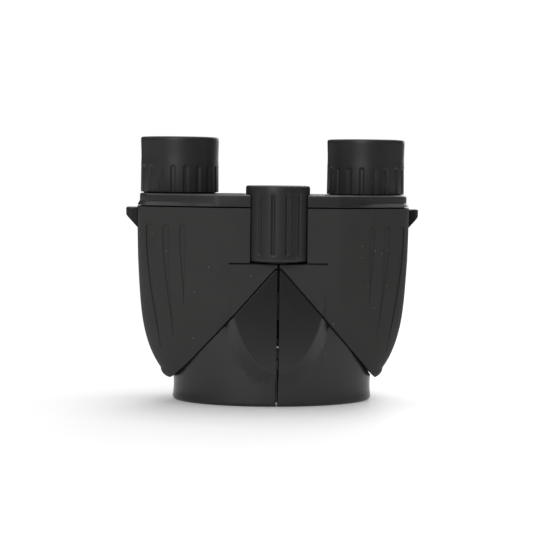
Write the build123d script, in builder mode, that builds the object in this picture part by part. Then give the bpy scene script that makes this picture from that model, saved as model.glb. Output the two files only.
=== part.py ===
"""Compact reverse-porro binoculars, standing on the objective end.

Millimetres. X runs across the pair, Y from the top side (front) to the underside (back), and
Z up from the objective rims to the eyecups. The origin is at the middle of the footprint.
Right means +X. Left pieces are the mirror images of the right ones, apart from the hinge
knuckles, the lapped focus arms and the eyepiece, which has the dioptre adjustment on the left.
"""

import os
from math import atan2, cos, degrees, hypot, pi, radians, sin, sqrt, tan

from build123d import *

# ---------------------------------------------------------------- optical layout
eye_half_spacing = 36.0  # half of the widest eye distance
eye_axis_y = 9.85
objective_half_spacing = 20.5
objective_axis_y = 1.85
hinge_y = -14.5  # the centre hinge and the focus knob share this axis
fold_half_angle = 15.5  # each half folds back this far from the middle

# ---------------------------------------------------------------- casings
seam_half_gap = 0.4
wall = 1.8
inner_wall = 1.2
ledge = 1.0  # the prism shelf stands on this step inside the wall
back_y = 26.15
front_y = -18.65  # front of the objective casings beside the centre boss
crease_x = 22.0  # the flat front of the prism housing and its cover ends here
housing_half_width = 52.15
casing_half_width = 38.3
cover_seam_z = 73.9  # where the top cover meets the prism housing
cover_top_z = 78.8
pocket_floor_z = 53.5  # floor of the slot the focus knob stands in
pocket_floor = 1.6
pocket_wall = 2.0
seam_apex_z = 52.8  # the slanting seams would meet the centre line here
seam_foot_x = 37.4
seam_foot_z = 10.5
seam_apex_round = 2.2
seam_groove = 0.5
seam_groove_depth = 0.8
tip_z = 8.5  # lowest point of the prism housing
tip_round = 3.6
base_round = 1.5
base_floor = 2.2
section_steps = 6  # points in each quarter of a cross-section

# Cross-sections of the prism housing: height, how much narrower and how much shallower than the
# top it is, depth of the widest point, the powers of its front and back curves, and the depth of
# its flat front, which ends at a soft crease.
housing_sections = [
    (tip_z + tip_round, 9.2, 2.95, 5.2, 1.95, 2.1, -15.35),
    (18.0, 5.8, 1.95, 5.6, 2.1, 2.4, -16.2),
    (26.0, 3.1, 1.2, 6.1, 2.3, 2.8, -17.3),
    (38.0, 1.3, 0.65, 6.9, 2.6, 3.4, -20.4),
    (46.0, 0.75, 0.4, 7.4, 2.75, 3.75, -20.9),
    (54.0, 0.35, 0.22, 7.75, 2.87, 4.0, -21.1),
    (60.0, 0.18, 0.12, 7.9, 2.93, 4.15, -21.15),
    (66.0, 0.08, 0.05, 7.96, 2.97, 4.28, -21.18),
    (70.5, 0.03, 0.02, 7.99, 2.99, 4.36, -21.2),
    (cover_seam_z, 0.0, 0.0, 8.0, 3.0, 4.4, -21.2),
]
# The same for the objective casing, which has no flat and widens upwards under the housing.
casing_sections = [
    (base_round, 0.0, 2.55, 4.85, 2.0, 2.0),
    (12.0, -0.3, 2.55, 4.85, 2.0, 2.0),
    (28.0, -6.7, 1.75, 5.8, 2.25, 2.6),
    (54.0, -13.2, 0.55, 7.6, 2.8, 3.4),
]

# ---------------------------------------------------------------- centre boss
boss_front_y = -20.95
boss_root_y = -16.0
boss_front_half_width = 18.0
boss_root_half_width = 22.3
boss_arc_z = 48.7  # straight sides above this, a half ellipse below
boss_front_foot_z = 13.1
boss_root_foot_z = 2.4
boss_edge_round = 1.2
slit_half_length = 18.3
slit_height = 0.5
slit_depth = 1.0

# ---------------------------------------------------------------- top cover
cover_inset = 1.0  # how far its upper part stands in from the prism housing
cover_skirt_height = 2.0
cover_edge_round = 0.8
cover_roof = 1.7
screw_x = 19.5
screw_ys = (2.0, 16.0)
screw_rib_height = 4.5
screw_rib_half_width = 2.4
screw_post_radius = 2.6
screw_radius = 0.9
screw_head_radius = 1.7
screw_length = 7.5

# ---------------------------------------------------------------- flutes on the prism housings
flute_top_z = 66.1
flute_width = 2.4
flute_depth = 0.35
flutes = [(35.3, 37.0, 0.7), (41.5, 25.0, 3.4), (47.6, 19.0, 5.0)]  # x, foot height, foot lean

# ---------------------------------------------------------------- strap lug
lug_x = 56.5
lug_y = 10.0
lug_width = 8.0
lug_top_z = 73.4
lug_shoulder_z = 70.4
lug_foot_z = 65.2
lug_hole_radius = 1.35
lug_hole_x = 54.4

# ---------------------------------------------------------------- hinge
knuckle_radius = 5.0
knuckle_clearance = 0.4
knuckle_gap = 0.3
upper_knuckle = 5.0  # length of each upper knuckle
lower_knuckle = 3.5
hinge_core_radius = 7.0
heel_radius = 2.8  # round heel that closes the seam under the lower knuckles
upper_hinge_z = 32.6
axle_radius = 2.6
axle_bore_radius = 1.6
axle_end = 0.5  # length of the axle above its clip
running_gap = 0.05
clip_thickness = 0.6

# ---------------------------------------------------------------- focus knob
knob_radius = 11.9
knob_pocket_gap = 0.5
knob_bottom_z = 54.2
knob_top_z = 82.2
knob_wall = 1.9
knob_floor = 2.4
knob_hub_radius = 6.5
knob_flutes = 14
knob_flute_radius = 0.95
knob_flute_depth = 0.6
knob_flute_bottom_z = 56.8
knob_flute_top_z = 79.3
knob_round = 1.0
cap_thickness = 2.3
nut_radius = 4.5
nut_bottom_z = 58.0
nut_height = 10.0

# ---------------------------------------------------------------- eyepieces
eyecup_radius = 14.95
eyecup_bottom_z = 79.0
eyecup_top_z = 100.0
cup_rib_top_z = 89.3
cup_grooves = 19
cup_groove_width = 1.9
cup_groove_depth = 0.5
cup_waist = 0.15  # how much slimmer the smooth part is just above the grip
cup_well_radius = 12.4
cup_web_z = 92.0
cup_web = 1.2
cup_eye_hole_radius = 9.2
cup_lip_round = 0.6
cup_fit = 0.1  # room between the cup and the turret tube
turret_radius = 12.8
turret_wall = 1.5
turret_bottom_z = 70.6
turret_top_z = 90.0
turret_flange_radius = 13.8
turret_flange = 1.4
barrel_wall = 1.0
barrel_bottom_z = 72.2
lens_seat = 1.2
dioptre_lift = 0.25  # the dioptre eyepiece stands this much higher in its middle position

# ---------------------------------------------------------------- objectives
lens_radius = 12.8
clear_radius = 12.3
cell_radius = 13.7
sleeve_gap = 0.15
sleeve_wall = 1.15
sleeve_top_z = 18.0
cell_bottom_z = 6.0
cell_top_z = 23.4
bezel_z = 0.5
bezel_height = 3.6
bezel_bore = 12.9

# ---------------------------------------------------------------- focus carriage
arm_thickness = 2.0
arm_width = 5.0
arm_slot_gap = 0.6
lap_gap = 0.1
hub_radius = 4.2
spindle_radius = 1.5
spindle_gap = 0.05
spindle_top_z = 70.0
spindle_flange_radius = 3.2
spindle_flange = 0.9
focus_travel_down = 0.6
focus_travel_up = 3.9

# ---------------------------------------------------------------- prisms
prism_width = 13.0
shelf_z = 55.6
shelf_thickness = 1.2
shelf_hole_radius = 5.8
clip_width = 4.0
clip_metal = 0.5
fold_x, fold_y = 32.25, -1.9  # where the light comes down from the upper to the lower prism

# ---------------------------------------------------------------- worked out from the above
pocket_radius = knob_radius + knob_pocket_gap
carve_radius = knuckle_radius + knuckle_clearance
seam_slope = (seam_apex_z - seam_foot_z) / seam_foot_x
fold_slope = tan(radians(fold_half_angle))
sleeve_bore = cell_radius + sleeve_gap
turret_bore = turret_radius - turret_wall
barrel_radius = turret_bore - running_gap
barrel_bore = barrel_radius - barrel_wall
spindle_low_z = cell_top_z - spindle_flange - spindle_gap
lower_hinge_top_z = spindle_low_z - focus_travel_down - knuckle_clearance
lower_hinge_z = lower_hinge_top_z - 2 * lower_knuckle - knuckle_gap
BIG = 300.0


# ================================================================ shapes of the casings
def quarter(half_width, depth, power):
    """Points of a quarter of a superellipse, from its middle to its side."""
    turns = [pi / 2 * step / section_steps for step in range(section_steps + 1)]
    return [(half_width * sin(t) ** (2 / power), depth * cos(t) ** (2 / power)) for t in turns]


def half_section(half_width, front, back, side_y, front_power, back_power):
    """Closed outline of the right-hand half of a cross-section."""
    ahead = [(x, side_y - y) for x, y in quarter(half_width, side_y - front, front_power)]
    behind = [(x, side_y + y) for x, y in quarter(half_width, back - side_y, back_power)]
    points = ahead + behind[-2::-1]
    with BuildLine() as outline:
        Spline(*points, tangents=[(1, 0), (-1, 0)])
        Line(points[-1], points[0])
    return outline.edges()


def casing_outline(section, inset=0.0):
    """Right-hand outline of the objective casing, drawn in by inset."""
    narrower, shallower, side_y, front_power, back_power = section
    half_width = casing_half_width - narrower - inset
    back = back_y - shallower - inset
    return half_section(half_width, front_y + inset, back, side_y, front_power, back_power)


def housing_outline(section, inset=0.0, flat_inset=None):
    """Right-hand outline of the prism housing: flat in front up to the crease, then curved."""
    narrower, shallower, side_y, front_power, back_power, flat_y = section
    half_width = housing_half_width - narrower - inset
    depth_ahead = side_y - front_y - inset
    depth_behind = back_y - shallower - inset - side_y
    corner = (crease_x, flat_y + (inset if flat_inset is None else flat_inset))
    ahead = [(x, side_y - y) for x, y in quarter(half_width, depth_ahead, front_power)]
    behind = [(x, side_y + y) for x, y in quarter(half_width, depth_behind, back_power)]
    points = [corner] + ahead[section_steps // 2 :] + behind[-2::-1]
    leaving = (points[1][0] - corner[0], 0.75 * (points[1][1] - corner[1]))
    with BuildLine() as outline:
        Line((0, corner[1]), corner)
        Spline(*points, tangents=[leaving, (-1, 0)])
        Line(points[-1], (0, corner[1]))
    return outline.edges()


def lofted(outline, sections, inset=0.0):
    """Right-hand half of a casing lofted through its cross-sections, all drawn in by inset."""
    with BuildPart() as body:
        for z, *section in sections:
            edges = outline(section, inset)
            with BuildSketch(Plane.XY.offset(z)):
                make_face(edges)
        loft()
    return body.part


def rounded_foot(outline, lowest, rounding):
    """The rounded end under the lowest section, drawn in along a quarter circle."""
    z, *section = lowest
    with BuildPart() as foot:
        for turn in (0, 30, 60, 90):
            edges = outline(section, rounding * (1 - sin(radians(turn))))
            with BuildSketch(Plane.XY.offset(z - rounding * cos(radians(turn)))):
                make_face(edges)
        loft()
    return foot.part


def housing_body(inset=0.0):
    """The solid shape of the prism housing, drawn in by inset."""
    return lofted(housing_outline, housing_sections, inset)


def casing_body(inset=0.0):
    """The solid shape of the objective casing, drawn in by inset."""
    return lofted(casing_outline, casing_sections, inset)


def boss_half(top_z, inset=0.0):
    """Right-hand half of the raised centre boss, rounded at its foot."""
    sides = [
        (boss_root_y, boss_root_half_width, boss_root_foot_z),
        (boss_front_y, boss_front_half_width, boss_front_foot_z),
    ]
    with BuildPart() as boss:
        for y, half_width, foot_z in sides:
            half_width -= inset
            foot_z += inset
            shift = inset if y == boss_front_y else 0.0
            with BuildSketch(Plane.XZ.offset(-(y + shift))):
                with BuildLine() as outline:
                    middle = (0, boss_arc_z)
                    EllipticalCenterArc(middle, half_width, boss_arc_z - foot_z, 270, arc_size=90)
                    Polyline((half_width, boss_arc_z), (half_width, top_z), (0, top_z), (0, foot_z))
                make_face()
        loft(ruled=True)
        if inset == 0:
            front = boss.faces().sort_by(Axis.Y)[0]
            rim = [edge for edge in front.edges() if edge.center().X > 1 and edge.center().Z < top_z - 1]
            fillet(rim, boss_edge_round)
    return boss.part


def seam_region(above, shift=0.0):
    """Everything above (or below) the slanting seam on the right-hand side."""
    angle = atan2(seam_slope, 1.0)
    apex = seam_apex_z + shift / cos(angle)
    arc_x = seam_apex_round * sin(angle)
    arc_z = apex - seam_slope * arc_x
    centre_z = arc_z - seam_apex_round * cos(angle)
    mid = angle / 2
    far = BIG
    with BuildPart() as region:
        with BuildSketch(Plane.XZ):
            with BuildLine():
                ThreePointArc(
                    (0, centre_z + seam_apex_round),
                    (seam_apex_round * sin(mid), centre_z + seam_apex_round * cos(mid)),
                    (arc_x, arc_z),
                )
                end = (far, apex - seam_slope * far)
                limit = far if above else -2 * far
                top = (0, centre_z + seam_apex_round)
                Polyline((arc_x, arc_z), end, (far, limit), (0, limit), top)
            make_face()
        extrude(amount=far / 2, both=True)
    return region.part


def fold_wedge(offset=0.0):
    """What is cut away on the centre side so that the halves can fold: flat in front of the hinge,
    leaning outwards behind it. The offset leaves the wall of the closed side standing."""
    lean = offset / cos(radians(fold_half_angle))
    x = seam_half_gap
    reach = 60.0
    corner = hinge_y + (offset - lean) / fold_slope if offset else hinge_y
    with BuildPart() as wedge:
        with BuildSketch(Plane.XY.offset(-5)):
            with BuildLine():
                Polyline(
                    (-BIG, -BIG),
                    (x + offset, -BIG),
                    (x + offset, corner),
                    (x + lean + (corner + reach - hinge_y) * fold_slope, corner + reach),
                    (-BIG, corner + reach),
                    close=True,
                )
            make_face()
        extrude(amount=BIG)
    return wedge.part


def rod(radius, bottom, top, x=0.0, y=hinge_y):
    """A plain upright cylinder."""
    with BuildPart() as cylinder:
        with BuildSketch(Plane.XY.offset(bottom)):
            with Locations((x, y)):
                Circle(radius)
        extrude(amount=top - bottom)
    return cylinder.part


def block(x1, x2, y1, y2, z1, z2):
    """A plain box given by its limits."""
    with BuildPart() as box:
        with Locations(((x1 + x2) / 2, (y1 + y2) / 2, (z1 + z2) / 2)):
            Box(x2 - x1, y2 - y1, z2 - z1)
    return box.part


def revolved(points, x=0.0, y=hinge_y):
    """A closed profile of radius and height turned about an upright axis."""
    with BuildPart() as turned:
        with BuildSketch(Plane.XZ):
            with BuildLine():
                Polyline(*points, close=True)
            make_face()
        revolve(axis=Axis.Z)
    return turned.part.moved(Location((x, y, 0)))


def knuckles(side):
    """Height ranges of the hinge knuckles that belong to one side."""
    lower = lower_hinge_z + (0 if side > 0 else lower_knuckle + knuckle_gap)
    upper = upper_hinge_z + (upper_knuckle + knuckle_gap if side > 0 else 0)
    return [(lower, lower + lower_knuckle), (upper, upper + upper_knuckle)]


def hinge_carve(side):
    """Room for the other side's knuckles and for the focus arms between them."""
    (low, low_end), (high, high_end) = knuckles(side)
    with BuildPart() as carve:
        add(rod(carve_radius, lower_hinge_z - knuckle_clearance, low))
        add(rod(carve_radius, low_end, high))
        add(rod(carve_radius, high_end, pocket_floor_z - pocket_floor))
    return carve.part


def arm_direction():
    """From the hinge axis to the objective axis: distance and angle."""
    rise = objective_axis_y - hinge_y
    return hypot(objective_half_spacing, rise), degrees(atan2(rise, objective_half_spacing))


def arm_slot():
    """Slot in the hinge wall that the focus arm slides in."""
    reach, angle = arm_direction()
    low = cell_top_z - focus_travel_down - arm_slot_gap
    high = cell_top_z + arm_thickness + focus_travel_up + arm_slot_gap
    with BuildPart() as slot:
        with BuildSketch(Plane.XY.offset(low)):
            with Locations(Location((0, hinge_y, 0), angle)):
                with Locations((reach / 2 - 2, 0)):
                    Rectangle(reach - 10, arm_width + 2 * arm_slot_gap)
        extrude(amount=high - low)
    return slot.part


screw_places = [(screw_x, y) for y in screw_ys]


def housing_core():
    """The hollow of the prism housing."""
    knob_well = rod(pocket_radius + pocket_wall, pocket_floor_z - pocket_floor, cover_seam_z + 1)
    rib_z = cover_seam_z - screw_rib_height
    half, reach = screw_rib_half_width, screw_post_radius
    ribs = [block(0, x + reach, y - half, y + half, rib_z, cover_seam_z) for x, y in screw_places]
    with BuildPart() as core:
        add(housing_body(wall + ledge))
        add(housing_body(wall) & block(0, BIG, -BIG, BIG, shelf_z, cover_seam_z + 1))
        add([fold_wedge(inner_wall), rod(hinge_core_radius, 0, cover_seam_z)], mode=Mode.SUBTRACT)
        add([knob_well, *ribs], mode=Mode.SUBTRACT)
    return core.part


def housing_flutes():
    """Cutter for the three shallow flutes on the front of the prism housing."""
    half = flute_width / 2
    with BuildPart() as cutter:
        with BuildSketch(Plane.XZ):
            for x, foot_z, lean in flutes:
                left, right = (x - half, flute_top_z), (x + half, flute_top_z)
                foot = (x - lean, foot_z)
                height = flute_top_z - foot_z
                with BuildLine():
                    ThreePointArc(left, (x, flute_top_z + half), right)
                    Spline(left, foot, tangents=[(0, -height), (-1.6 * lean, -height)])
                    Spline(right, foot, tangents=[(0, -height), (-1.6 * lean, -height)])
                make_face()
        extrude(amount=BIG / 2)
        add(block(0, BIG, -BIG, housing_sections[-1][3], 0, BIG), mode=Mode.INTERSECT)
        add(housing_body(flute_depth), mode=Mode.SUBTRACT)
    return cutter.part


def slit():
    """Shallow level slit beside the knob slot, at the height of its floor."""
    low = pocket_floor_z - slit_height / 2
    return block(0, slit_half_length, -BIG, boss_front_y + slit_depth, low, low + slit_height)


def seam_groove_cutter(above):
    """The fine groove on the outside along the slanting seam."""
    half = seam_groove / 2
    body = housing_body(seam_groove_depth) if above else casing_body(seam_groove_depth)
    with BuildPart() as cutter:
        add(seam_region(above, -0.01 if above else 0.01))
        beyond = seam_region(above, half if above else -half)
        add([beyond, body, boss_half(cover_seam_z, seam_groove_depth)], mode=Mode.SUBTRACT)
    return cutter.part


def housing_blank():
    """The prism housing before the cuts that differ between the sides."""
    socket = turret_radius + 2 * running_gap
    turret_room = rod(socket, turret_bottom_z - 3 * running_gap, BIG, eye_half_spacing, eye_axis_y)
    pilots = [rod(screw_radius, cover_top_z - screw_length, BIG, x, y) for x, y in screw_places]
    with BuildPart() as housing:
        add(housing_body())
        add(rounded_foot(housing_outline, housing_sections[0], tip_round))
        add(boss_half(cover_seam_z))
        add(seam_region(True), mode=Mode.INTERSECT)
        add([fold_wedge(), rod(pocket_radius, pocket_floor_z, BIG), slit()], mode=Mode.SUBTRACT)
        add([seam_groove_cutter(True), housing_flutes()], mode=Mode.SUBTRACT)
        add([housing_core(), turret_room, *pilots], mode=Mode.SUBTRACT)
    return housing.part


def prism_housing(side, blank):
    """The outer casing half above the slanting seam, which holds the prisms."""
    hole = axle_radius + (running_gap if side > 0 else 3 * running_gap)
    with BuildPart() as housing:
        add(blank)
        add([hinge_carve(side), rod(hole, 0, pocket_floor_z + 1)], mode=Mode.SUBTRACT)
    return housing.part


def casing_blank():
    """The objective casing before its hinge is cut."""
    x, y = objective_half_spacing, objective_axis_y
    floor_section = (base_floor, *casing_sections[0][1:])
    hollow_sections = [floor_section, *casing_sections[1:]]
    sleeve = rod(sleeve_bore + sleeve_wall, -1, sleeve_top_z, x, y)
    cell_reach = cell_top_z + arm_thickness + focus_travel_up + 1.0
    with BuildPart() as hollow:
        add(lofted(casing_outline, hollow_sections, wall + ledge))
        add([fold_wedge(inner_wall), rod(hinge_core_radius, 0, BIG), sleeve], mode=Mode.SUBTRACT)
    with BuildPart() as casing:
        add(casing_body())
        add(rounded_foot(casing_outline, casing_sections[0], base_round))
        add(boss_half(cover_seam_z))
        add(seam_region(False), mode=Mode.INTERSECT)
        add([fold_wedge(), seam_groove_cutter(False)], mode=Mode.SUBTRACT)
        add([hollow.part, rod(sleeve_bore, -1, cell_reach, x, y)], mode=Mode.SUBTRACT)
    return casing.part


def objective_casing(side, blank):
    """The middle casing half under the slanting seam, with the objective tube and hinge knuckles."""
    hole = axle_radius + (0.0 if side > 0 else running_gap)
    with BuildPart() as casing:
        add(blank)
        add(hinge_carve(side), mode=Mode.SUBTRACT)
        for bottom, top in knuckles(side):
            add(rod(knuckle_radius, bottom, top))
        add([arm_slot(), rod(hole, lower_hinge_z, BIG)], mode=Mode.SUBTRACT)
        if side > 0:
            add(rod(heel_radius, base_round, lower_hinge_z))
        else:
            add(rod(heel_radius + knuckle_clearance, -1, lower_hinge_z), mode=Mode.SUBTRACT)
    return casing.part


# ================================================================ top cover, bezel and strap lug
def cover_hollow():
    """The space under the roof of the top cover, around its screw posts."""
    top_section = housing_sections[-1][1:]
    with BuildPart() as hollow:
        with BuildSketch(Plane.XY.offset(cover_seam_z - 1)):
            make_face(housing_outline(top_section, cover_inset + wall))
        extrude(amount=cover_top_z - cover_roof - cover_seam_z + 1)
        add(fold_wedge(inner_wall), mode=Mode.SUBTRACT)
        add(rod(pocket_radius + pocket_wall, 0, BIG), mode=Mode.SUBTRACT)
        for x, y in screw_places:
            add(rod(screw_post_radius, 0, BIG, x, y), mode=Mode.SUBTRACT)
    return hollow.part


def screw_sink(x, y):
    """Countersunk hole for a cover screw."""
    rise = screw_head_radius - screw_radius
    profile = [
        (0, cover_seam_z - 1),
        (screw_radius, cover_seam_z - 1),
        (screw_radius, cover_top_z - 0.3 - rise),
        (screw_head_radius, cover_top_z - 0.3),
        (screw_head_radius, cover_top_z + 1),
        (0, cover_top_z + 1),
    ]
    return revolved(profile, x, y)


def top_cover():
    """The shallow cover over the prism housing, open for the knob and the eyepiece."""
    skirt_top = cover_seam_z + cover_skirt_height
    top_section = housing_sections[-1][1:]
    with BuildPart() as cover:
        for z, inset in ((cover_seam_z, 0.0), (skirt_top, cover_inset)):
            with BuildSketch(Plane.XY.offset(z)):
                make_face(housing_outline(top_section, inset, 0.0))
        loft(ruled=True)
        with BuildSketch(Plane.XY.offset(skirt_top)):
            make_face(housing_outline(top_section, cover_inset, 0.0))
        extrude(amount=cover_top_z - skirt_top)
        rim = cover.faces().sort_by(Axis.Z)[-1].edges().filter_by(lambda edge: edge.center().X > 1)
        fillet(rim, cover_edge_round)
        add(fold_wedge(), mode=Mode.SUBTRACT)
        add(rod(pocket_radius, 0, BIG), mode=Mode.SUBTRACT)
        add(cover_hollow(), mode=Mode.SUBTRACT)
        hole = turret_radius + running_gap
        add(rod(hole, 0, BIG, eye_half_spacing, eye_axis_y), mode=Mode.SUBTRACT)
        for x, y in screw_places:
            add(screw_sink(x, y), mode=Mode.SUBTRACT)
    return cover.part


def cover_screws():
    """Two countersunk screws that hold the top cover down."""
    rise = screw_head_radius - screw_radius
    head_z = cover_top_z - 0.3
    profile = [
        (0, cover_top_z - screw_length),
        (screw_radius, cover_top_z - screw_length),
        (screw_radius, head_z - rise),
        (screw_head_radius, head_z),
        (0, head_z),
    ]
    with BuildPart() as screws:
        for x, y in screw_places:
            add(revolved(profile, x, y))
            slot = block(x - 1.1, x + 1.1, y - 0.2, y + 0.2, head_z - 0.5, head_z + 1)
            add(slot, mode=Mode.SUBTRACT)
            add(slot.rotate(Axis((x, y, 0), (0, 0, 1)), 90), mode=Mode.SUBTRACT)
    return screws.part


def objective_bezel():
    """Trim ring inside the mouth of the objective tube."""
    top = bezel_z + bezel_height
    profile = [
        (sleeve_bore - 0.4, bezel_z),
        (sleeve_bore, bezel_z + 0.4),
        (sleeve_bore, top),
        (bezel_bore, top),
        (bezel_bore, bezel_z + 0.4),
        (bezel_bore + 0.4, bezel_z),
    ]
    return revolved(profile, objective_half_spacing, objective_axis_y)


def strap_lug():
    """Strap lug on the outer side, with an upright eyelet."""
    inner = housing_half_width - 2.5
    with BuildPart() as lug:
        with BuildSketch(Plane.XZ.offset(-lug_y)):
            with BuildLine():
                Polyline(
                    (inner, lug_top_z),
                    (lug_x, lug_top_z),
                    (lug_x, lug_shoulder_z),
                    (housing_half_width - 0.4, lug_foot_z),
                    (inner, lug_foot_z),
                    close=True,
                )
            make_face()
        extrude(amount=lug_width / 2, both=True)
        outer = lug.edges().filter_by(Axis.Z).group_by(Axis.X)[-1]
        fillet(outer, 2.0)
        fillet(lug.faces().sort_by(Axis.Z)[-1].edges().sort_by(Axis.X)[1:], 0.6)
        add(rod(lug_hole_radius, 0, BIG, lug_hole_x, lug_y), mode=Mode.SUBTRACT)
        add(housing_body(), mode=Mode.SUBTRACT)
    return lug.part


# ================================================================ prisms
def prism_frame(lower):
    """Middle of the prism's long face, the direction it runs in, and half its length."""
    start = (fold_x, fold_y) if lower else (objective_half_spacing, objective_axis_y)
    end = (eye_half_spacing, eye_axis_y) if lower else (fold_x, fold_y)
    base_z = shelf_z if lower else shelf_z + shelf_thickness
    angle = degrees(atan2(end[1] - start[1], end[0] - start[0]))
    middle = ((start[0] + end[0]) / 2, (start[1] + end[1]) / 2, base_z)
    return Location(middle, (0, 0, angle)), hypot(end[0] - start[0], end[1] - start[1])


def prism(lower):
    """A right-angle prism standing on the shelf, or hanging under it."""
    place, half_long = prism_frame(lower)
    peak = -half_long if lower else half_long
    with BuildPart() as glass:
        with BuildSketch(Plane.XZ):
            with BuildLine():
                Polyline((-half_long, 0), (0, peak), (half_long, 0), close=True)
            make_face()
        extrude(amount=prism_width / 2, both=True)
    return glass.part.moved(place)


def prism_strap(lower):
    """Sprung strap over one prism, with a foot on the shelf at each end."""
    place, half_long = prism_frame(lower)
    way = -1 if lower else 1
    foot = half_long + 2.5
    knee = half_long + clip_metal * (sqrt(2) - 1)
    with BuildPart() as strap:
        with BuildSketch(Plane.XZ):
            with BuildLine():
                Polyline(
                    (-foot, 0),
                    (-foot, way * clip_metal),
                    (-knee, way * clip_metal),
                    (0, way * (half_long + clip_metal * sqrt(2))),
                    (knee, way * clip_metal),
                    (foot, way * clip_metal),
                    (foot, 0),
                    (half_long, 0),
                    (0, way * half_long),
                    (-half_long, 0),
                    close=True,
                )
            make_face()
        extrude(amount=clip_width / 2, both=True)
    return strap.part.moved(place)


def prism_clips():
    """Two sprung straps that hold the prisms against the shelf."""
    with BuildPart() as clips:
        add(prism_strap(False))
        add(prism_strap(True))
    return clips.part


def prism_shelf():
    """Plate across the housing that carries both prisms, with three light holes."""
    with BuildPart() as shelf:
        add(housing_body(wall))
        slab = block(0, BIG, -BIG, BIG, shelf_z, shelf_z + shelf_thickness)
        add(slab, mode=Mode.INTERSECT)
        add(fold_wedge(inner_wall), mode=Mode.SUBTRACT)
        add(rod(pocket_radius + pocket_wall, 0, BIG), mode=Mode.SUBTRACT)
        for x, y in (
            (objective_half_spacing, objective_axis_y),
            (fold_x, fold_y),
            (eye_half_spacing, eye_axis_y),
        ):
            add(rod(shelf_hole_radius, 0, BIG, x, y), mode=Mode.SUBTRACT)
    return shelf.part


# ================================================================ objective and focus carriage
def lens(radius, seat, low_middle, low_edge, high_middle, high_edge, x, y):
    """A round lens: two spherical faces given by their heights in the middle and at the edge, with a
    flat rim of the given width on each side to seat on."""
    edge = radius - seat
    with BuildPart() as glass:
        with BuildSketch(Plane.XZ):
            with BuildLine():
                dished((0, low_middle), (edge, low_edge))
                Polyline((edge, low_edge), (radius, low_edge), (radius, high_edge), (edge, high_edge))
                dished((0, high_middle), (edge, high_edge))
                Line((0, high_middle), (0, low_middle))
            make_face()
        revolve(axis=Axis.Z)
    return glass.part.moved(Location((x, y, 0)))


def dished(middle, rim):
    """Arc of a spherical face from the axis to the rim, centred on the axis."""
    sag = rim[1] - middle[1]
    if abs(sag) < 0.01:
        return Line(middle, rim)
    sphere = (rim[0] ** 2 + sag**2) / (2 * abs(sag))
    half = rim[0] / 2
    part_sag = (sphere - sqrt(sphere**2 - half**2)) * (1 if sag > 0 else -1)
    return ThreePointArc(middle, (half, middle[1] + part_sag), rim)


lens_rim_z = cell_bottom_z + 3.4
shoulder_z = lens_rim_z + 4.4


def objective_cell():
    """Sliding tube that carries the objective lens."""
    profile = [
        (lens_radius, cell_bottom_z),
        (cell_radius, cell_bottom_z),
        (cell_radius, cell_top_z),
        (clear_radius - 0.6, cell_top_z),
        (clear_radius - 0.6, cell_top_z - 1.2),
        (clear_radius, cell_top_z - 1.8),
        (clear_radius, shoulder_z),
        (lens_radius, shoulder_z),
    ]
    return revolved(profile, objective_half_spacing, objective_axis_y)


def objective_crown():
    """Front element of the objective."""
    z, seat = lens_rim_z, lens_radius - clear_radius
    x, y = objective_half_spacing, objective_axis_y
    return lens(lens_radius, seat, z - 1.3, z, z + 3.2, z + 1.8, x, y)


def objective_flint():
    """Rear element of the objective, cemented to the front one."""
    z, seat = lens_rim_z, lens_radius - clear_radius
    x, y = objective_half_spacing, objective_axis_y
    return lens(lens_radius, seat, z + 3.2, z + 1.8, shoulder_z - 0.2, shoulder_z, x, y)


def objective_retainer():
    """Threaded ring that holds the objective lens in its cell."""
    profile = [
        (clear_radius, cell_bottom_z + 0.3),
        (lens_radius, cell_bottom_z + 0.3),
        (lens_radius, lens_rim_z),
        (clear_radius, lens_rim_z),
    ]
    return revolved(profile, objective_half_spacing, objective_axis_y)


def focus_arm(side):
    """Arm from the objective cell to the spindle; the two arms are lapped at the hinge axis."""
    reach, angle = arm_direction()
    low, top = cell_top_z, cell_top_z + arm_thickness
    lap = (arm_thickness - lap_gap) / 2
    hub_low = top - lap if side > 0 else low
    with BuildPart() as arm:
        ring = [
            (clear_radius - 0.6, low),
            (cell_radius - 0.6, low),
            (cell_radius - 0.6, top),
            (clear_radius - 0.6, top),
        ]
        with BuildSketch(Plane.XY.offset(low)):
            with Locations(Location((0, hinge_y, 0), angle)):
                with Locations((reach / 2, 0)):
                    Rectangle(reach, arm_width)
        extrude(amount=arm_thickness)
        bore = rod(clear_radius - 0.6, 0, BIG, objective_half_spacing, objective_axis_y)
        add(bore, mode=Mode.SUBTRACT)
        add(rod(hub_radius + 0.4, 0, BIG), mode=Mode.SUBTRACT)
        add(revolved(ring, objective_half_spacing, objective_axis_y))
        add(rod(hub_radius, hub_low, hub_low + lap))
        with BuildSketch(Plane.XY.offset(hub_low)):
            with Locations(Location((0, hinge_y, 0), angle)):
                with Locations((hub_radius + 0.4, 0)):
                    Rectangle(2.4, arm_width)
        extrude(amount=lap)
        add(rod(spindle_radius + spindle_gap, 0, BIG), mode=Mode.SUBTRACT)
    return arm.part


def focus_spindle():
    """Threaded spindle that draws both focus arms up and down inside the hollow axle."""
    flange_top = spindle_low_z + spindle_flange
    profile = [
        (0, spindle_low_z),
        (spindle_flange_radius, spindle_low_z),
        (spindle_flange_radius, flange_top),
        (spindle_radius, flange_top),
        (spindle_radius, spindle_top_z),
        (0, spindle_top_z),
    ]
    return revolved(profile)


def ring(inner, outer, low, top, x=0.0, y=hinge_y):
    """A plain ring."""
    return revolved([(inner, low), (outer, low), (outer, top), (inner, top)], x, y)


def spindle_clip():
    """Retaining clip on the spindle, above the arms."""
    low = cell_top_z + arm_thickness + spindle_gap
    return ring(spindle_radius, spindle_flange_radius, low, low + clip_thickness)


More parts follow.
